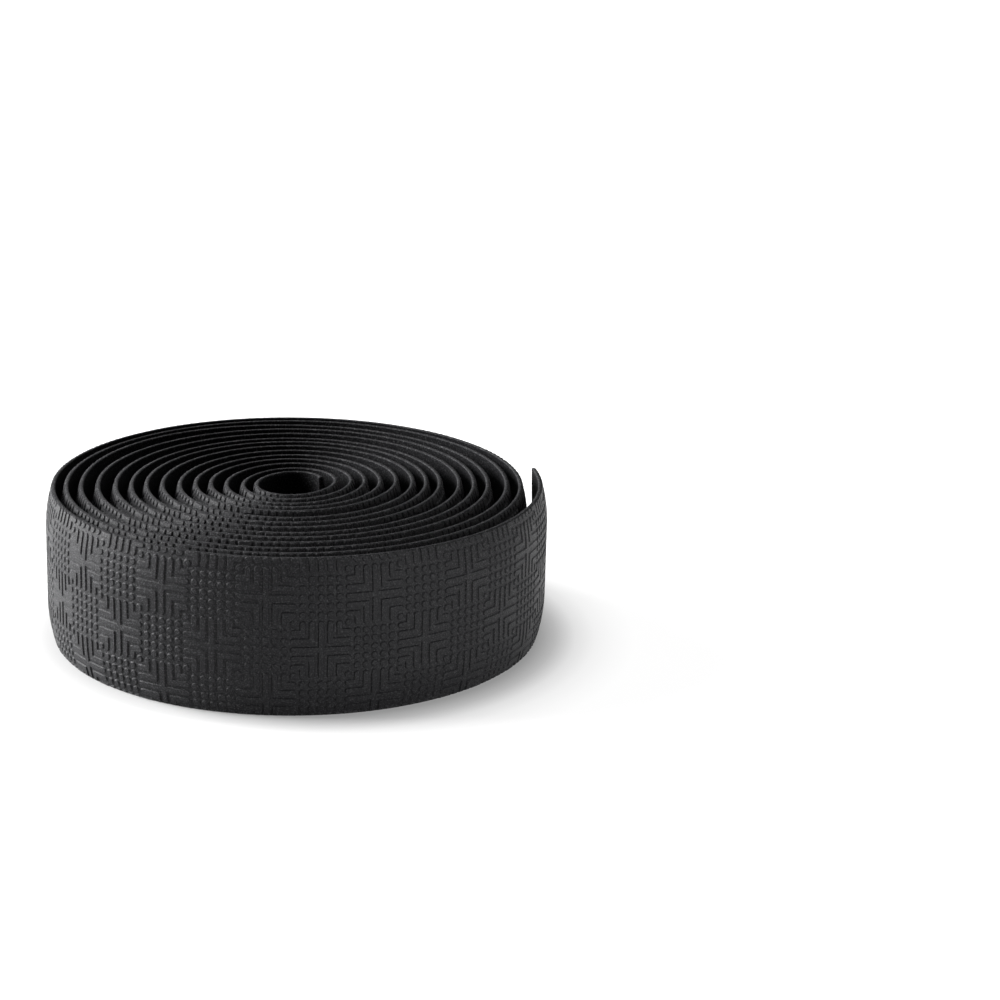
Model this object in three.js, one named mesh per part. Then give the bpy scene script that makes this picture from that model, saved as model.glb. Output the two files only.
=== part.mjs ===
// A roll of padded handlebar tape, lying flat on its edges: one long strip, wound edge-up
// into a loose spiral around an open core. Seen from above, the strip runs anticlockwise
// from its inner end in the core to its free outer end.
// Millimetres, +Z up, origin under the middle of the roll on the surface that it lies on.

import * as THREE from 'three';

// Section of the strip
const tapeWidth = 30;
const middleThickness = 1.75;
const edgeThickness = 1.1;
const faceCrown = 1.2;      // how far the outer face falls back at both edges
const crownReach = 8;       // width of the band beside each edge in which it falls
const crownSteps = 2;

// Winding
const coreRadius = 5.22;    // from the core's middle to the back of the strip at its inner end
const airGap = 1.27;        // mean clearance between one turn's back and the next one's face
const wholeTurns = 13;
const innerEndAngle = THREE.MathUtils.degToRad(60);
const outerEndAngle = THREE.MathUtils.degToRad(12);

// Looseness of a roll wound by hand
const slackShare = 0.18;    // swing of the strip about its even winding, as a share of the mean gap
const slackTurns = 1.35;    // turns from one loose place to the next
const slackStart = 0.3;     // turns from the inner end to where the swing begins
const coreOval = 0.72;      // how far the core is out of round
const rimOval = 0.29;       // how far the outermost turn is out of round
const ovalAngle = THREE.MathUtils.degToRad(65);
const coreOffset = new THREE.Vector2(-0.27, -1.04);  // core's middle from that of the roll
const rimOffset = new THREE.Vector2(-0.63, 0.42);    // outermost turn's middle from that of the roll
const outerEndLift = 1.1;   // the free end stands off the roll
const outerEndReach = THREE.MathUtils.degToRad(150);

// Places where the strip bulges out from its even winding, or is drawn in where the lift is
// negative: turns from the inner end, lift as a share of the mean gap, reach either way in turns.
// The first leans the inner end out to the turn behind it.
const bulges = [
  { turn: 0.06, lift: 0.69, reach: 0.44 },
  { turn: 3.54, lift: -0.74, reach: 0.29 },
  { turn: 4.6, lift: -1.24, reach: 0.31 },
  { turn: 7.8, lift: -0.34, reach: 0.82 },
  { turn: 11.2, lift: 0.72, reach: 0.14 },
  { turn: 12, lift: 0.53, reach: 0.44 },
  { turn: 13.2, lift: -0.38, reach: 0.53 },
];

// Greatest distance between a curved face and its facets
const facetSagitta = 0.2;

const sectionDepth = Math.max(middleThickness, faceCrown + edgeThickness);
const pitch = Math.max(middleThickness, edgeThickness) + airGap;
const fullTurn = 2 * Math.PI;
const woundAngle = wholeTurns * fullTurn
  + THREE.MathUtils.euclideanModulo(outerEndAngle - innerEndAngle, fullTurn);

// How far the strip lies off its even winding after the given turns, as a share of the mean gap.
function looseness(turns) {
  const swing = slackShare * Math.sin(fullTurn * (turns - slackStart) / slackTurns);
  return bulges.reduce((sum, { turn, lift, reach }) => {
    const share = THREE.MathUtils.clamp((turns - turn) / reach, -1, 1);
    return sum + lift * (1 - share * share) ** 2;
  }, swing);
}

// Rises smoothly from 0 to 1 while the distance to the free end falls from its reach to nothing.
function leanAtFreeEnd(distance) {
  return THREE.MathUtils.clamp(1 - distance / outerEndReach, 0, 1) ** 2;
}

// Radius of the outer face after the given winding angle from the inner end.
function faceRadius(wound) {
  const turns = wound / fullTurn;
  const direction = innerEndAngle + wound;
  const oval = THREE.MathUtils.lerp(coreOval, rimOval, wound / woundAngle);
  return coreRadius + sectionDepth + pitch * turns
    + airGap * looseness(turns)
    + oval * Math.cos(2 * (direction - ovalAngle))
    + outerEndLift * leanAtFreeEnd(woundAngle - wound);
}

// The line that the middle of the outer face follows, at the strip's lower edge.
class TapePath extends THREE.Curve {
  constructor() {
    super();
    this.stations = [0];
    let wound = 0;
    while (wound < woundAngle) {
      wound += 2 * Math.acos(1 - facetSagitta / faceRadius(wound));
      this.stations.push(wound);
    }
    this.stations = this.stations.map((angle) => angle / wound);
  }

  get steps() {
    return this.stations.length - 1;
  }

  // Stations follow the curvature: close together in the core and wider apart outside.
  getUtoTmapping(u) {
    return this.stations[Math.round(u * this.steps)];
  }

  getPoint(t, target = new THREE.Vector3()) {
    const wound = t * woundAngle;
    const radius = faceRadius(wound);
    const direction = innerEndAngle + wound;
    return target.set(
      THREE.MathUtils.lerp(coreOffset.x, rimOffset.x, t) + radius * Math.cos(direction),
      THREE.MathUtils.lerp(coreOffset.y, rimOffset.y, t) + radius * Math.sin(direction),
      0);
  }
}

// Half of the outer face: how far it has fallen at the given height above the strip's edge.
function crownFall(height) {
  const share = THREE.MathUtils.clamp(1 - height / crownReach, 0, 1);
  return faceCrown * share * share;
}

// The strip's cross-section. The sweep lays the shape's -x along the roll's height
// and its -y away from the core, so the face lies at y = 0 and the back beyond it.
function tapeSection() {
  const face = [];
  for (let step = 0; step <= crownSteps; step += 1) {
    const height = crownReach * (step / crownSteps) ** 2;
    face.push([height, crownFall(height)]);
  }
  const upperFace = face.map(([height, fall]) => [tapeWidth - height, fall]).reverse();
  const edgeBack = faceCrown + edgeThickness;
  const outline = [
    ...face,
    ...upperFace,
    [tapeWidth, edgeBack],
    [tapeWidth - crownReach, middleThickness],
    [crownReach, middleThickness],
    [0, edgeBack],
  ];
  return new THREE.Shape(outline.map(([height, depth]) => new THREE.Vector2(-height, depth)));
}

// Puts the origin under the middle of the roll's outline.
function centreOnOrigin(geometry) {
  geometry.computeBoundingBox();
  const middle = geometry.boundingBox.getCenter(new THREE.Vector3());
  return geometry.translate(-middle.x, -middle.y, -geometry.boundingBox.min.z);
}

const path = new TapePath();
const tape = new THREE.Mesh(
  centreOnOrigin(new THREE.ExtrudeGeometry(tapeSection(), { steps: path.steps, extrudePath: path })),
  new THREE.MeshStandardMaterial({ color: 0x2b2b2e, roughness: 0.75, metalness: 0 }));
tape.name = 'bar_tape';

const roll = new THREE.Group();
roll.add(tape);

export default roll;
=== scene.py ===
# A roll of padded handlebar tape: one embossed strip, wound edge-up into a loose spiral
# around an open core, lying on a white floor in soft light from the left. Metres, +Z up.

import logging
import math
from dataclasses import dataclass, field
from enum import Enum

import bpy
import numpy as np
from mathutils import Matrix, Vector


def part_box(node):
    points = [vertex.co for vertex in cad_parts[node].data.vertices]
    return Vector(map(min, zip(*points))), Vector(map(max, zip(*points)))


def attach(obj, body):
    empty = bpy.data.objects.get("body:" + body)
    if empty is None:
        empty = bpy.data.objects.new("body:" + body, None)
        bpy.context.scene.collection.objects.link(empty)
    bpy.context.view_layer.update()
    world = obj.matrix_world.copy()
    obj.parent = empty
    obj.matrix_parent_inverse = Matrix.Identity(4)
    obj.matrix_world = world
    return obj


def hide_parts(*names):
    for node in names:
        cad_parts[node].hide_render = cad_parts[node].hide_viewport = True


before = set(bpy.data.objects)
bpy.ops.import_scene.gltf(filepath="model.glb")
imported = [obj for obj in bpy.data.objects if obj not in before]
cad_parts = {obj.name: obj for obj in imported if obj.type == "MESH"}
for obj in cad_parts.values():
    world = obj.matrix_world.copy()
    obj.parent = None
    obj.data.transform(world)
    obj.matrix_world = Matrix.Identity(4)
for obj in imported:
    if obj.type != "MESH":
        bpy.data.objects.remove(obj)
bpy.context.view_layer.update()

MM = 0.001
NODE = "bar_tape"
BODY = "root"
FULL_TURN = 2 * math.pi

log = logging.getLogger("handlebar_tape")


def smooth_step(share: np.ndarray) -> np.ndarray:
    """Rises from 0 to 1 with level ends while the share does.

    Args:
        share: Values of which those below 0 and above 1 are cut off.

    Returns:
        The smoothed values, in the same shape.
    """
    share = np.clip(share, 0, 1)
    return share * share * (3 - 2 * share)


class Detail(Enum):
    """How much of its emboss a run of the strip carries: all of it, or only its rims'."""

    SHOWN = "shown"
    WOUND_IN = "wound in"


class Finish(Enum):
    """The three surfaces of the strip, in the order of a piece's material slots."""

    FACE = 0
    EDGE = 1
    BACK = 2


@dataclass(frozen=True)
class Bulge:
    """A place where the strip leaves its even winding, outwards or, if negative, inwards.

    The lift is a share of the gap between turns, and the reach either way is in turns.
    """

    turn: float
    lift: float
    reach: float

    def rise(self, turns: np.ndarray) -> np.ndarray:
        """The lift at numbers of turns from the inner end, as a share of the gap."""
        share = np.clip((turns - self.turn) / self.reach, -1, 1)
        return self.lift * (1 - share * share) ** 2


@dataclass(frozen=True)
class Winding:
    """The spiral that the middle of the strip's outer face follows, seen from above.

    It runs anticlockwise from the inner end in the core to the free outer end. Its depth
    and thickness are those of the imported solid's section, which it is laid around.
    """

    core_radius: float = 5.22 * MM
    section_depth: float = 2.3 * MM
    thickness: float = 1.75 * MM
    air_gap: float = 1.27 * MM
    whole_turns: int = 13
    inner_end_angle: float = math.radians(60)
    inner_tail: float = math.radians(29)
    outer_end_angle: float = math.radians(12)
    slack_share: float = 0.18
    slack_turns: float = 1.35
    slack_start: float = 0.3
    core_oval: float = 0.72 * MM
    rim_oval: float = 0.29 * MM
    oval_angle: float = math.radians(65)
    core_offset: tuple[float, float] = (-0.27 * MM, -1.04 * MM)
    rim_offset: tuple[float, float] = (-0.63 * MM, 0.42 * MM)
    outer_end_lift: float = 1.1 * MM
    outer_end_reach: float = math.radians(150)
    bulges: tuple[Bulge, ...] = (
        Bulge(0.06, 0.69, 0.44),
        Bulge(3.54, -0.74, 0.29),
        Bulge(4.6, -1.24, 0.31),
        Bulge(7.8, -0.34, 0.82),
        Bulge(11.2, 0.72, 0.14),
        Bulge(12.0, 0.53, 0.44),
        Bulge(13.2, -0.38, 0.53),
    )
    samples_per_turn: int = 1440

    @property
    def wound_angle(self) -> float:
        """The angle through which the whole strip is wound."""
        part = (self.outer_end_angle - self.inner_end_angle) % FULL_TURN
        return self.whole_turns * FULL_TURN + part

    def radius(self, wound: np.ndarray) -> np.ndarray:
        """Distance of the outer face from the middle of its turn.

        Args:
            wound: Angles wound since the inner end.

        Returns:
            The radius at each of them.
        """
        turns = wound / FULL_TURN
        swing = np.sin(FULL_TURN * (turns - self.slack_start) / self.slack_turns)
        loose = self.slack_share * swing + sum(bulge.rise(turns) for bulge in self.bulges)
        share = wound / self.wound_angle
        oval = (1 - share) * self.core_oval + share * self.rim_oval
        lean = np.clip(1 - (self.wound_angle - wound) / self.outer_end_reach, 0, 1) ** 2
        direction = self.inner_end_angle + wound
        return (self.core_radius + self.section_depth
                + (self.thickness + self.air_gap) * turns
                + self.air_gap * loose
                + oval * np.cos(2 * (direction - self.oval_angle))
                + self.outer_end_lift * lean)

    def point(self, wound: np.ndarray) -> np.ndarray:
        """Places on the spiral.

        Args:
            wound: Angles wound since the inner end.

        Returns:
            One row of x and y for each angle.
        """
        share = (wound / self.wound_angle)[:, None]
        middle = (1 - share) * np.array(self.core_offset) + share * np.array(self.rim_offset)
        direction = self.inner_end_angle + wound
        towards = np.stack([np.cos(direction), np.sin(direction)], axis=1)
        return middle + self.radius(wound)[:, None] * towards

    def samples(self) -> tuple[np.ndarray, np.ndarray]:
        """The spiral, finely sampled.

        Returns:
            The wound angles, and the length of strip from the inner end to each of them.
        """
        count = int(self.samples_per_turn * self.wound_angle / FULL_TURN) + 1
        wound = np.linspace(-self.inner_tail, self.wound_angle, count)
        steps = np.linalg.norm(np.diff(self.point(wound), axis=0), axis=1)
        return wound, np.concatenate([[0.0], np.cumsum(steps)])

    def middle(self) -> np.ndarray:
        """The middle of the spiral's outline, as x and y."""
        line = self.point(self.samples()[0])
        return (line.min(axis=0) + line.max(axis=0)) / 2

    def lay(self, distance: np.ndarray) -> tuple[np.ndarray, np.ndarray]:
        """The line and its outward normals at given lengths of strip.

        Args:
            distance: Lengths of strip from the inner end, in an array of any shape.

        Returns:
            Points and unit normals, each with x and y in a last axis.
        """
        wound, length = self.samples()
        line = self.point(wound)
        tangent = np.gradient(line, wound, axis=0)
        tangent /= np.linalg.norm(tangent, axis=1)[:, None]
        x, y, along_x, along_y = (
            np.interp(distance, length, values)
            for values in (line[:, 0], line[:, 1], tangent[:, 0], tangent[:, 1]))
        return np.stack([x, y], axis=-1), np.stack([along_y, -along_x], axis=-1)


@dataclass(frozen=True)
class Emboss:
    """A fret-and-dot grip relief on a square lattice, pressed into the strip's outer face.

    Square blocks alternate. In one kind a cross stands among nested right angles, and the
    other kind is filled with round dots. Widths are shares of the lattice step.
    """

    lattice: float = 1.645 * MM
    block: int = 6
    relief: float = 0.22 * MM
    bar_top: float = 0.26
    bar_foot: float = 0.36
    dot_growth: float = 1.22
    corner_rounding: float = 0.35
    cross_direction: float = math.radians(-93.45)
    cross_height: float = 22.95 * MM

    def grid_lines(self, detail: Detail) -> tuple[float, ...]:
        """Places of a grid's lines in each lattice step.

        Args:
            detail: How finely the grid carries the relief.

        Returns:
            The bars' edges and, where all of it shows, the middles of bars and grooves.
        """
        edges = (-self.bar_foot, -self.bar_top, self.bar_top, self.bar_foot)
        return (*edges, 0.0, 0.5) if detail is Detail.SHOWN else edges

    def linked(self, site: np.ndarray, line: np.ndarray) -> np.ndarray:
        """Whether a bar joins each lattice site to the next one on its line.

        Args:
            site: Whole-numbered places along the line.
            line: Whole numbers of the lines, counted from one through a cross.

        Returns:
            True where a bar lies between the site and the next.
        """
        half = self.block // 2
        block_along = np.floor((site + 0.5 + half) / self.block)
        block_across = np.floor((line + half) / self.block)
        near = site - self.block * block_along
        from_cross = np.minimum(np.abs(near), np.abs(near + 1))
        off_cross = np.abs(line - self.block * block_across)
        has_cross = (block_along + block_across) % 2 == 0
        return has_cross & (off_cross < half) & (from_cross >= off_cross)

    def press(self, along: np.ndarray, across: np.ndarray
              ) -> tuple[np.ndarray, np.ndarray, np.ndarray]:
        """Shapes a grid whose lines follow the bars' edges.

        Args:
            along: Places along the strip, in lattice steps from a cross.
            across: Places across it, in lattice steps from the same cross.

        Returns:
            Shifts along and across that make the dots and the bars' ends round, in lattice
            steps, and how far each point is raised, from 0 to 1.
        """
        site_x, site_y = np.rint(along), np.rint(across)
        dx, dy = along - site_x, across - site_y
        right, left = self.linked(site_x, site_y), self.linked(site_x - 1, site_y)
        above, below = self.linked(site_y, site_x), self.linked(site_y - 1, site_x)
        bar_x, bar_y = np.where(dx > 0, right, left), np.where(dy > 0, above, below)
        square = np.maximum(np.abs(dx), np.abs(dy))
        away = np.where(bar_x & (dx != 0), np.minimum(square, np.abs(dy)), square)
        away = np.where(bar_y & (dy != 0), np.minimum(away, np.abs(dx)), away)
        raised = 1 - smooth_step((away - self.bar_top) / (self.bar_foot - self.bar_top))
        joined = right.astype(int) + left + above + below
        strength = np.where(bar_x | bar_y, 0.0, np.where(joined > 1, self.corner_rounding, 1.0))
        fade = np.clip((0.5 - square) / (0.5 - self.bar_foot), 0, 1)
        size = np.where(joined == 0, self.dot_growth, 1.0)
        pull = strength * fade * (size * square / np.maximum(np.hypot(dx, dy), 1e-9) - 1)
        pull = np.where(square > 0, pull, 0.0)
        return dx * pull, dy * pull, raised


@dataclass(frozen=True)
class SectionRows:
    """The strip's section as rows of a grid, once round from the lower edge."""

    height: np.ndarray
    depth: np.ndarray
    pressed: np.ndarray
    finish: np.ndarray


@dataclass(frozen=True)
class Section:
    """The strip's cross-section: a crowned outer face, thin cut edges and a plain back.

    No grid line is nearer to a rounded corner than a share of a lattice step, and the
    wound-in band beside each edge is a number of steps wide.
    """

    width: float = 30 * MM
    middle_thickness: float = 1.75 * MM
    edge_thickness: float = 0.8 * MM
    crown: float = 1.2 * MM
    crown_reach: float = 8 * MM
    face_corner: float = 0.15 * MM
    back_corner: float = 0.2 * MM
    corner_steps: int = 3
    press_margin: float = 0.2 * MM
    clear_of_corner: float = 0.15
    wound_in_band: int = 3
    back_heights: tuple[float, ...] = (0.1, 0.27, 0.5, 0.73, 0.9)

    def face_depth(self, height: np.ndarray) -> np.ndarray:
        """How far the crowned face lies behind its middle, at heights above the lower edge."""
        from_edge = np.minimum(height, self.width - height)
        return self.crown * np.clip(1 - from_edge / self.crown_reach, 0, 1) ** 2

    def back_depth(self, height: np.ndarray) -> np.ndarray:
        """How far the back lies behind the face's middle, at heights above the lower edge."""
        from_edge = np.minimum(height, self.width - height)
        share = np.clip(from_edge / self.crown_reach, 0, 1)
        return (1 - share) * (self.crown + self.edge_thickness) + share * self.middle_thickness

    def corner(self, radius: float, face_side: bool, relief: float
               ) -> tuple[np.ndarray, np.ndarray]:
        """The rounding of the lower edge's corner, from the edge to the side.

        Args:
            radius: The rounding's radius.
            face_side: True beside the outer face, False beside the back.
            relief: How far the face's ground lies below the top of its emboss.

        Returns:
            Heights and depths of the points between the edge and the side.
        """
        turn = np.linspace(0, math.pi / 2, self.corner_steps + 2)
        height = radius * (1 - np.cos(turn))
        inset = radius * (1 - np.sin(turn))
        if face_side:
            return height, self.face_depth(height) + relief + inset
        return height, self.back_depth(height) - inset

    def face_lines(self, emboss: Emboss, detail: Detail) -> np.ndarray:
        """Heights of the grid's lines on the face, between its two rounded corners.

        Args:
            emboss: The relief, whose bars the lines follow.
            detail: Whether the whole face is embossed or only the bands beside its edges.

        Returns:
            The heights, rising.
        """
        reach = int(self.width / emboss.lattice) + 2
        steps = np.arange(-reach, reach + 1)[:, None] + np.array(emboss.grid_lines(detail))
        lines = np.sort(emboss.cross_height + emboss.lattice * steps.ravel())
        clear = self.face_corner + self.clear_of_corner * emboss.lattice
        lines = lines[(lines > clear) & (lines < self.width - clear)]
        if detail is Detail.WOUND_IN:
            band = self.wound_in_band * emboss.lattice
            lines = lines[(lines < band) | (lines > self.width - band)]
        return lines

    def rows(self, emboss: Emboss, detail: Detail) -> SectionRows:
        """The closed section as rows of a grid.

        Args:
            emboss: The relief on the outer face.
            detail: How much of the face is embossed.

        Returns:
            Heights, depths, how fully each row is pressed, and the finish of the surface
            between each row and the next. The last row lies on the first.
        """
        lines = self.face_lines(emboss, detail)
        from_edge = np.minimum(lines, self.width - lines)
        pressed = smooth_step((from_edge - self.face_corner) / self.press_margin)
        if detail is Detail.WOUND_IN:
            middle = int(np.argmax(np.diff(lines)))
            pressed[[middle, middle + 1]] = 0.0
        corner_h, corner_d = self.corner(self.face_corner, True, emboss.relief)
        under_h, under_d = self.corner(self.back_corner, False, emboss.relief)
        back = self.width * np.array(self.back_heights)
        height = np.concatenate([
            corner_h, lines, self.width - corner_h[::-1],
            self.width - under_h, back[::-1], under_h[::-1], corner_h[:1]])
        depth = np.concatenate([
            corner_d, self.face_depth(lines) + emboss.relief, corner_d[::-1],
            under_d, self.back_depth(back[::-1]), under_d[::-1], corner_d[:1]])
        edge, side, rear = len(corner_h), len(lines), len(under_h)
        rising = np.linspace(0, 1, edge) ** 2
        press = np.concatenate([
            rising, pressed, rising[::-1], np.zeros(len(height) - 2 * edge - side)])
        finish = np.concatenate([
            np.full(edge - 1, Finish.EDGE.value), np.full(side + 1, Finish.FACE.value),
            np.full(edge + rear - 1, Finish.EDGE.value), np.full(len(back) + 1, Finish.BACK.value),
            np.full(rear, Finish.EDGE.value)])
        return SectionRows(height, depth, press, finish)


@dataclass(frozen=True)
class TapeFinish:
    """A grainy, matt black surface of the tape.

    The specks are coarser than the grain, and the pale share of them has the paler colour.
    """

    name: str
    colour: tuple[float, float, float]
    pale_colour: tuple[float, float, float]
    roughness: float
    specular: float
    grain_per_metre: float
    grain_depth: float
    grain_layers: float = 3.0
    grain_contrast: float = 0.6
    speck_scale: float = 0.6
    speck_layers: float = 2.0
    pale_share: float = 0.50

    def material(self) -> bpy.types.Material:
        """Builds the surface's nodes, which read Object coordinates.

        Returns:
            The material.
        """
        material = bpy.data.materials.new(self.name)
        material.use_nodes = True
        tree = material.node_tree
        nodes, links = tree.nodes, tree.links
        shader = nodes["Principled BSDF"]
        shader.inputs["Roughness"].default_value = self.roughness
        shader.inputs["Specular IOR Level"].default_value = self.specular
        place = nodes.new("ShaderNodeTexCoord")

        grain = nodes.new("ShaderNodeTexNoise")
        grain.inputs["Scale"].default_value = self.grain_per_metre
        grain.inputs["Detail"].default_value = self.grain_layers
        grain.inputs["Roughness"].default_value = self.grain_contrast
        links.new(place.outputs["Object"], grain.inputs["Vector"])

        specks = nodes.new("ShaderNodeTexNoise")
        specks.inputs["Scale"].default_value = self.grain_per_metre * self.speck_scale
        specks.inputs["Detail"].default_value = self.speck_layers
        links.new(place.outputs["Object"], specks.inputs["Vector"])

        ramp = nodes.new("ShaderNodeValToRGB")
        ramp.color_ramp.elements[0].position = 1 - self.pale_share
        ramp.color_ramp.elements[0].color = (*self.colour, 1)
        ramp.color_ramp.elements[1].position = 1 - self.pale_share / 2
        ramp.color_ramp.elements[1].color = (*self.pale_colour, 1)
        links.new(specks.outputs["Fac"], ramp.inputs["Fac"])
        links.new(ramp.outputs["Color"], shader.inputs["Base Color"])

        bump = nodes.new("ShaderNodeBump")
        bump.inputs["Distance"].default_value = self.grain_depth
        links.new(grain.outputs["Fac"], bump.inputs["Height"])
        links.new(bump.outputs["Normal"], shader.inputs["Normal"])
        return material


@dataclass(frozen=True)
class TapeRun:
    """One stretch of the strip, closed at both ends, between two lattice columns."""

    name: str
    start: float
    end: float
    detail: Detail


@dataclass
class TapeRoll:
    """The whole roll, made as the real one is: cut, embossed and then wound.

    The runs with the whole emboss reach a little further than the outermost turn. No grid
    line is nearer to a run's end than a share of a lattice step.
    """

    winding: Winding = field(default_factory=Winding)
    emboss: Emboss = field(default_factory=Emboss)
    section: Section = field(default_factory=Section)
    shown_overlap: float = math.radians(12)
    shown_runs: int = 2
    wound_in_runs: int = 3
    clear_of_end: float = 0.08
    merge_distance: float = 0.001 * MM
    smooth_angle: float = math.radians(34)
    finishes: tuple[TapeFinish, ...] = (
        TapeFinish("embossed_face", (0.024, 0.024, 0.026), (0.115, 0.115, 0.121),
                   0.45, 0.18, 5600.0, 0.09 * MM),
        TapeFinish("cut_foam_edge", (0.036, 0.036, 0.038), (0.145, 0.145, 0.149),
                   0.85, 0.04, 5600.0, 0.12 * MM),
        TapeFinish("plain_back", (0.010, 0.010, 0.011), (0.052, 0.052, 0.054),
                   0.9, 0.03, 5600.0, 0.12 * MM),
    )

    def __post_init__(self) -> None:
        """Finds where the winding's middle and the first cross lie."""
        low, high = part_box(NODE)
        centre = np.array([low.x + high.x, low.y + high.y]) / 2
        self.axis = centre - self.winding.middle()
        wound, length = self.winding.samples()
        turns_back = (self.winding.outer_end_angle - self.emboss.cross_direction) % FULL_TURN
        self.length = float(length[-1])
        self.cross_at = float(np.interp(self.winding.wound_angle - turns_back, wound, length))
        shown_from = self.winding.wound_angle - FULL_TURN - self.shown_overlap
        self.shown_at = float(np.interp(shown_from, wound, length))

    def runs(self) -> list[TapeRun]:
        """The stretches in which the strip is made, from the inner end to the outer one."""
        def to_column(distance: float) -> float:
            """The middle of the groove before a lattice column."""
            return math.floor((distance - self.cross_at) / self.emboss.lattice) + 0.5

        first = -self.cross_at / self.emboss.lattice
        last = (self.length - self.cross_at) / self.emboss.lattice
        shown = to_column(self.shown_at)
        inner = [round(c) + 0.5 for c in np.linspace(first, shown, self.wound_in_runs + 1)[1:-1]]
        outer = [round(c) + 0.5 for c in np.linspace(shown, last, self.shown_runs + 1)[1:-1]]
        stops = [first, *inner, shown, *outer, last]
        details = [Detail.WOUND_IN] * self.wound_in_runs + [Detail.SHOWN] * self.shown_runs
        return [TapeRun(f"tape_run_{n + 1}", stops[n], stops[n + 1], detail)
                for n, detail in enumerate(details)]

    def columns(self, run: TapeRun) -> np.ndarray:
        """Places of the grid's columns along a run.

        Args:
            run: The stretch of strip.

        Returns:
            Places in lattice steps from the cross, rising from the run's start to its end.
        """
        whole = np.arange(math.floor(run.start) - 1, math.ceil(run.end) + 2)
        lines = np.sort((whole[:, None] + np.array(self.emboss.grid_lines(run.detail))).ravel())
        clear = self.clear_of_end
        lines = lines[(lines > run.start + clear) & (lines < run.end - clear)]
        return np.concatenate([[run.start], lines, [run.end]])

    def wind(self, run: TapeRun, columns: np.ndarray, rows: SectionRows) -> np.ndarray:
        """Embosses a run's grid and winds it up.

        Args:
            run: The stretch of strip; not used.
            columns: Places of the grid's columns, in lattice steps.
            rows: The section.

        Returns:
            A point for each column and row.
        """
        along, height = np.meshgrid(columns, rows.height, indexing="ij")
        across = (height - self.emboss.cross_height) / self.emboss.lattice
        shift_along, shift_across, raised = self.emboss.press(along, across)
        ends = (along == columns[0]) | (along == columns[-1])
        pressed = np.broadcast_to(rows.pressed, along.shape)
        keep = np.where(ends, 0.0, pressed)
        along = along + keep * shift_along
        height = height + keep * shift_across * self.emboss.lattice
        depth = rows.depth - pressed * raised * self.emboss.relief
        line, normal = self.winding.lay(self.cross_at + along * self.emboss.lattice)
        flat = self.axis + line - normal * depth[..., None]
        return np.concatenate([flat, height[..., None]], axis=-1)

    def make_run(self, run: TapeRun) -> bpy.types.Object:
        """Models one run: a flat strip of grid, shaped, closed into a section and capped.

        Args:
            run: The stretch of strip.

        Returns:
            The finished piece.
        """
        rows = self.section.rows(self.emboss, run.detail)
        columns = self.columns(run)
        points = self.wind(run, columns, rows)
        across, around = len(columns) - 1, len(rows.height) - 1
        bpy.ops.object.select_all(action="DESELECT")
        bpy.ops.mesh.primitive_grid_add(
            x_subdivisions=across, y_subdivisions=around, size=2, calc_uvs=False)
        piece = bpy.context.active_object
        piece.name = piece.data.name = run.name
        mesh = piece.data
        flat = np.empty(3 * len(mesh.vertices))
        mesh.vertices.foreach_get("co", flat)
        flat = flat.reshape(-1, 3)
        column = np.rint((flat[:, 0] + 1) / 2 * across).astype(int)
        row = np.rint((flat[:, 1] + 1) / 2 * around).astype(int)
        corners = np.empty(len(mesh.loops), dtype=int)
        mesh.loops.foreach_get("vertex_index", corners)
        lower_row = row[corners].reshape(-1, 4).min(axis=1)
        mesh.vertices.foreach_set("co", points[column, row].ravel())
        for finish in self.finishes:
            mesh.materials.append(bpy.data.materials.get(finish.name) or finish.material())
        mesh.polygons.foreach_set("material_index", rows.finish[lower_row])
        mesh.update()
        self.close(piece)
        self.declare(piece)
        return piece

    def close(self, piece: bpy.types.Object) -> None:
        """Joins the section's seam, caps both ends and turns every face outwards.

        Args:
            piece: The wound grid.
        """
        bpy.ops.object.mode_set(mode="EDIT")
        bpy.ops.mesh.select_mode(type="VERT")
        bpy.ops.mesh.select_all(action="SELECT")
        bpy.ops.mesh.remove_doubles(threshold=self.merge_distance)
        bpy.ops.mesh.select_all(action="DESELECT")
        bpy.ops.mesh.select_non_manifold(
            extend=False, use_wire=False, use_boundary=True, use_multi_face=False,
            use_non_contiguous=False, use_verts=False)
        bpy.ops.mesh.fill_holes(sides=0)
        bpy.ops.mesh.select_all(action="SELECT")
        bpy.ops.mesh.normals_make_consistent(inside=False)
        bpy.ops.object.mode_set(mode="OBJECT")
        caps = piece.data.polygons[-2:]
        for cap in caps:
            cap.material_index = Finish.EDGE.value
        bpy.ops.object.shade_smooth_by_angle(angle=self.smooth_angle)
        piece.select_set(False)

    def declare(self, piece: bpy.types.Object) -> None:
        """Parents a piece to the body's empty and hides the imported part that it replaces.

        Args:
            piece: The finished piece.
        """
        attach(piece, BODY)
        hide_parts(NODE)

    def build(self) -> list[bpy.types.Object]:
        """Makes every run of the strip.

        Returns:
            The pieces, from the inner end to the outer one.
        """
        pieces = [self.make_run(run) for run in self.runs()]
        for piece in pieces:
            triangles = sum(len(face.vertices) - 2 for face in piece.data.polygons)
            log.info("%s: %d triangles", piece.name, triangles)
        return pieces


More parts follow.
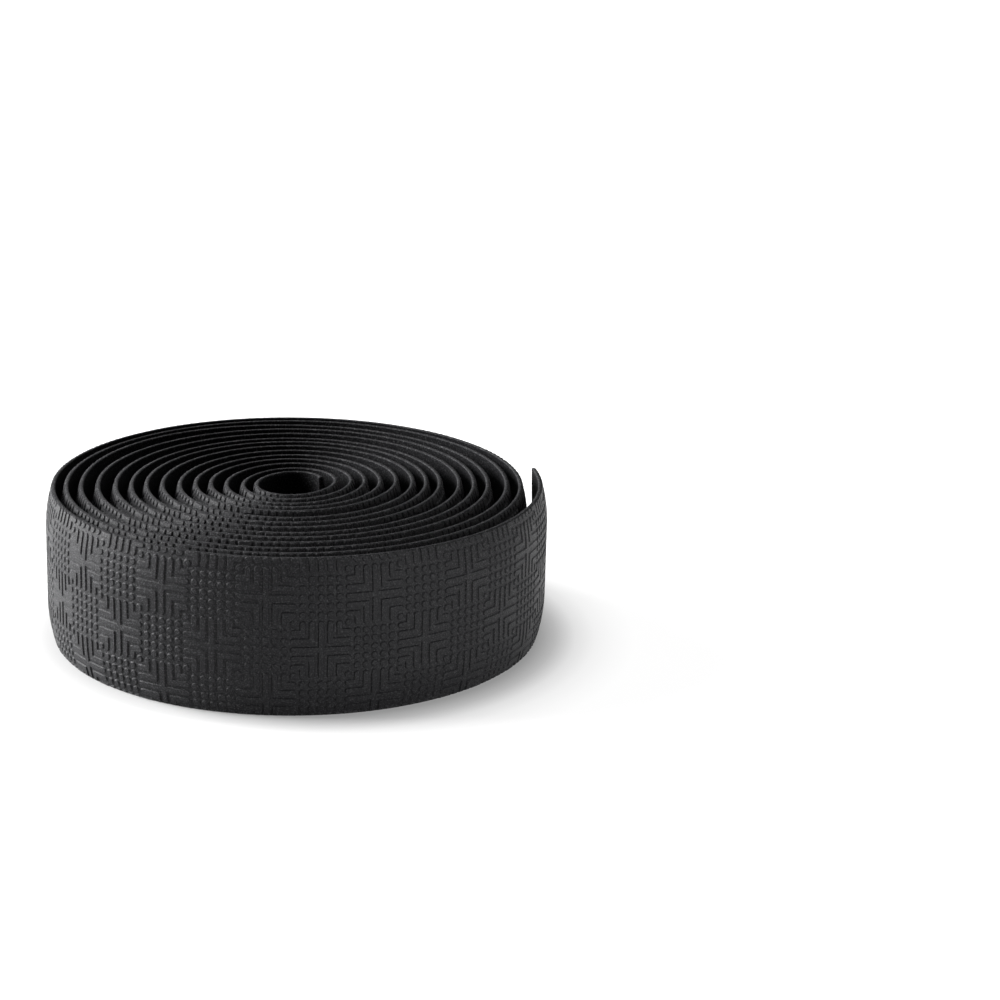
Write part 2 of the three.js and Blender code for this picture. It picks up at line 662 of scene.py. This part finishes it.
@dataclass(frozen=True)
class Viewpoint:
    """The photograph's camera, placed from the winding's axis."""

    position: tuple[float, float, float] = (13.894 * MM, -458.41 * MM, 170.072 * MM)
    turn_right: float = 0.0570
    tilt_down: float = 0.3030
    roll: float = 0.0300
    focal_pixels: float = 2462.0
    frame_pixels: float = 1000.0
    sensor_width: float = 36.0
    clip: tuple[float, float] = (0.01, 50.0)

    def place(self, axis: np.ndarray) -> bpy.types.Object:
        """Sets up the camera.

        Args:
            axis: The winding's axis, as x and y.

        Returns:
            The camera.
        """
        forward = Vector((math.sin(self.turn_right) * math.cos(self.tilt_down),
                          math.cos(self.turn_right) * math.cos(self.tilt_down),
                          -math.sin(self.tilt_down)))
        level = Vector((math.cos(self.turn_right), -math.sin(self.turn_right), 0))
        upward = level.cross(forward)
        right = math.cos(self.roll) * level + math.sin(self.roll) * upward
        up = math.cos(self.roll) * upward - math.sin(self.roll) * level
        data = bpy.data.cameras.new("viewpoint")
        data.sensor_width = self.sensor_width
        data.lens = self.focal_pixels / self.frame_pixels * self.sensor_width
        data.clip_start, data.clip_end = self.clip
        camera = bpy.data.objects.new("viewpoint", data)
        bpy.context.scene.collection.objects.link(camera)
        turned = Matrix((right, up, -forward)).transposed().to_4x4()
        shifted = Vector(self.position) + Vector((axis[0], axis[1], 0))
        camera.matrix_world = Matrix.Translation(shifted) @ turned
        bpy.context.scene.camera = camera
        return camera


@dataclass(frozen=True)
class Softbox:
    """A square studio lamp that faces the roll."""

    name: str
    azimuth: float
    elevation: float
    distance: float
    side: float
    power: float

    def hang(self, target: Vector) -> bpy.types.Object:
        """Hangs the lamp.

        Args:
            target: The point that it faces.

        Returns:
            The lamp.
        """
        towards = Vector((math.cos(self.azimuth) * math.cos(self.elevation),
                          math.sin(self.azimuth) * math.cos(self.elevation),
                          math.sin(self.elevation)))
        data = bpy.data.lights.new(self.name, "AREA")
        data.shape = "SQUARE"
        data.size = self.side
        data.energy = self.power
        lamp = bpy.data.objects.new(self.name, data)
        bpy.context.scene.collection.objects.link(lamp)
        lamp.location = target + towards * self.distance
        lamp.rotation_mode = "QUATERNION"
        lamp.rotation_quaternion = towards.to_track_quat("Z", "Y")
        return lamp


@dataclass(frozen=True)
class Studio:
    """A white floor and backdrop, with the lamps and the light of the room.

    The floor's glow is painted light and shade, given at shares of a metre from its middle. It is
    dim close round the roll, which darkens the floor at its foot, and rises to white further out,
    which fills in the roll's cast shadow.
    """

    floor_side: float = 12.0
    floor_seen: float = 0.50
    # Painted light and shade on the floor: glow stops, dim round the roll's foot and white further
    # out.
    painted_floor_glow: tuple[tuple[float, float], ...] = (
        (0.048, 0.28), (0.056, 0.82), (0.065, 0.96), (0.400, 1.0))
    floor_bounce: float = 0.10
    room_light: float = 0.01
    lamps: tuple[Softbox, ...] = (
        Softbox("left_softbox", math.radians(166), math.radians(22), 0.90, 0.60, 22.0),
        Softbox("top_softbox", math.radians(120), math.radians(65), 1.20, 0.60, 0.8),
        Softbox("low_softbox", math.radians(318), math.radians(2), 0.90, 0.08, 1.9),
    )

    def white_to_camera(self, tree: bpy.types.NodeTree) -> bpy.types.NodeSocket:
        """A value that is 1 for rays that see the stage directly, by gloss or through glass.

        Args:
            tree: The node tree that gets the nodes.

        Returns:
            The value's socket.
        """
        path = tree.nodes.new("ShaderNodeLightPath")
        seen = path.outputs["Is Camera Ray"]
        for ray in ("Is Glossy Ray", "Is Transmission Ray"):
            either = tree.nodes.new("ShaderNodeMath")
            either.operation = "MAXIMUM"
            tree.links.new(seen, either.inputs[0])
            tree.links.new(path.outputs[ray], either.inputs[1])
            seen = either.outputs[0]
        return seen

    def lay_floor(self) -> bpy.types.Object:
        """Lays the floor, darker where it only bounces light and white where it is seen, save for
        a painted glow: painted shade round the roll's foot and painted light that fills in the
        cast shadow further out.

        Returns:
            The floor.
        """
        bpy.ops.object.select_all(action="DESELECT")
        bpy.ops.mesh.primitive_plane_add(size=self.floor_side)
        floor = bpy.context.active_object
        floor.name = "floor"
        material = bpy.data.materials.new("white_floor")
        material.use_nodes = True
        tree = material.node_tree
        tree.nodes.clear()
        output = tree.nodes.new("ShaderNodeOutputMaterial")
        seen = tree.nodes.new("ShaderNodeBsdfDiffuse")
        seen.inputs["Color"].default_value = (*[self.floor_seen] * 3, 1)
        # Painted light and shade: the floor's own glow, dim close round the roll so its foot stays
        # dark, and white further out so the cast shadow fades away.
        painted_floor_glow = tree.nodes.new("ShaderNodeEmission")
        place = tree.nodes.new("ShaderNodeTexCoord")
        distance = tree.nodes.new("ShaderNodeVectorMath")
        distance.operation = "LENGTH"
        tree.links.new(place.outputs["Object"], distance.inputs[0])
        rise = tree.nodes.new("ShaderNodeValToRGB")
        stops = rise.color_ramp.elements
        while len(stops) < len(self.painted_floor_glow):
            stops.new(0.5)
        for stop, (reach, strength) in zip(stops, self.painted_floor_glow):
            stop.position = reach
            stop.color = (strength, strength, strength, 1)
        tree.links.new(distance.outputs["Value"], rise.inputs["Fac"])
        tree.links.new(rise.outputs["Color"], painted_floor_glow.inputs["Strength"])
        white = tree.nodes.new("ShaderNodeAddShader")
        bounce = tree.nodes.new("ShaderNodeBsdfDiffuse")
        bounce.inputs["Color"].default_value = (*[self.floor_bounce] * 3, 1)
        choose = tree.nodes.new("ShaderNodeMixShader")
        tree.links.new(seen.outputs[0], white.inputs[0])
        tree.links.new(painted_floor_glow.outputs[0], white.inputs[1])
        tree.links.new(self.white_to_camera(tree), choose.inputs["Fac"])
        tree.links.new(bounce.outputs[0], choose.inputs[1])
        tree.links.new(white.outputs[0], choose.inputs[2])
        tree.links.new(choose.outputs[0], output.inputs["Surface"])
        floor.data.materials.append(material)
        return floor

    def light_room(self) -> None:
        """Fills the room with an even light and shows it white."""
        world = bpy.data.worlds.new("room")
        bpy.context.scene.world = world
        world.use_nodes = True
        tree = world.node_tree
        tree.nodes.clear()
        output = tree.nodes.new("ShaderNodeOutputWorld")
        strength = tree.nodes.new("ShaderNodeMapRange")
        strength.inputs["To Min"].default_value = self.room_light
        strength.inputs["To Max"].default_value = 1.0
        background = tree.nodes.new("ShaderNodeBackground")
        tree.links.new(self.white_to_camera(tree), strength.inputs["Value"])
        tree.links.new(strength.outputs["Result"], background.inputs["Strength"])
        tree.links.new(background.outputs[0], output.inputs["Surface"])

    def set_up(self, target: Vector) -> None:
        """Lays the floor and lights it.

        Args:
            target: The point that the lamps face.
        """
        self.lay_floor()
        self.light_room()
        for lamp in self.lamps:
            lamp.hang(target)
            log.info("%s: %.1f W", lamp.name, lamp.power)


def main() -> None:
    """Builds the roll, the camera and the studio."""
    logging.basicConfig(level=logging.INFO, format="%(name)s: %(message)s")
    roll = TapeRoll()
    Viewpoint().place(roll.axis)
    log.info("strip %.3f m long, winding axis at %s mm", roll.length, roll.axis / MM)
    roll.build()
    low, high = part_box(NODE)
    Studio().set_up((low + high) / 2)
    bpy.context.scene.view_settings.view_transform = "Standard"


if __name__ == "__main__":
    main()
